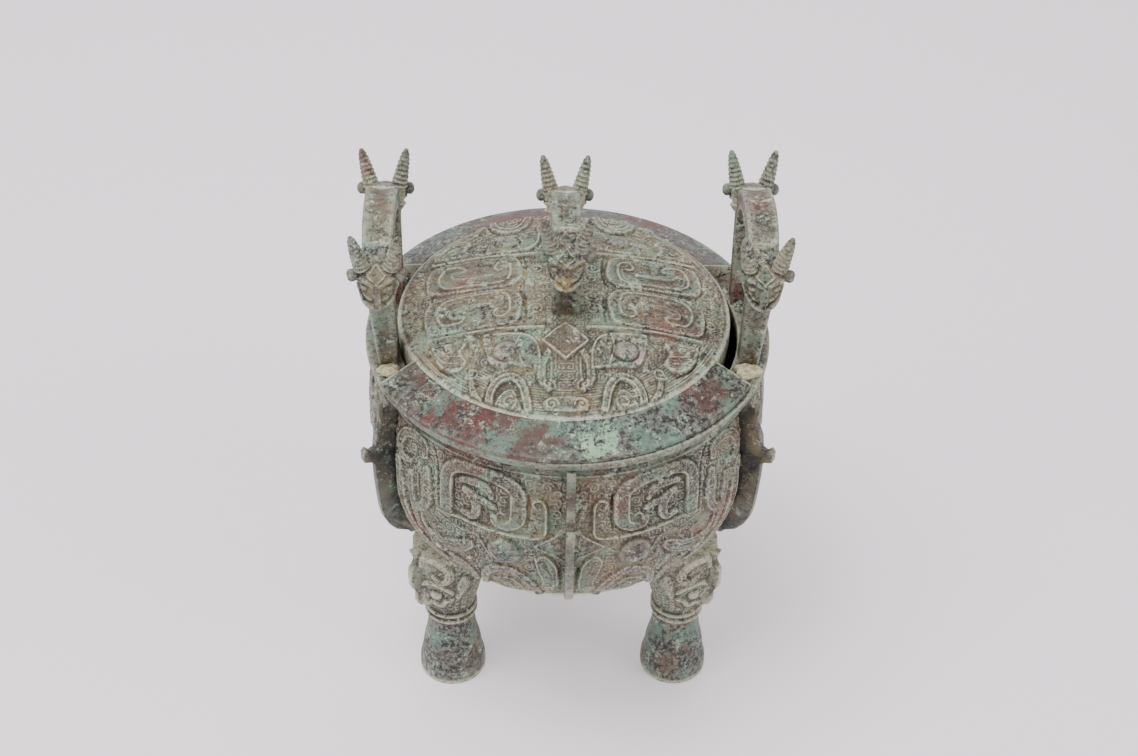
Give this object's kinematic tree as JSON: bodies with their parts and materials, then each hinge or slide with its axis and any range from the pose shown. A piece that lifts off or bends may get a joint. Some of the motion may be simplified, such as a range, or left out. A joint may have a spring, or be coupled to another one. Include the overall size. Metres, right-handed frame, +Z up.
{
  "type": "bronze ding vessel",
  "caption": "Round cast-bronze tripod cooking vessel with upright loop handles, flanges, mask relief and a lift-off lid with a loop handle.",
  "frame": {"origin": "on the floor, under the bowl's axis and midway between the flanges at the front and the back", "axes": "+Z up; the front mask faces -Y; the two rim handles stand at -X and +X"},
  "size_m": [0.207, 0.2304, 0.2922],
  "materials": {
    "vessel_bronze": "cast bronze with green and red-brown patina, earth in the grooves, matt",
    "lid_bronze": "cast bronze with green and red-brown patina, earth in the grooves, matt"
  },
  "bodies": {
    "root": {"vessel": "vessel_bronze", "lid": "lid_bronze"}
  },
  "joints": []
}
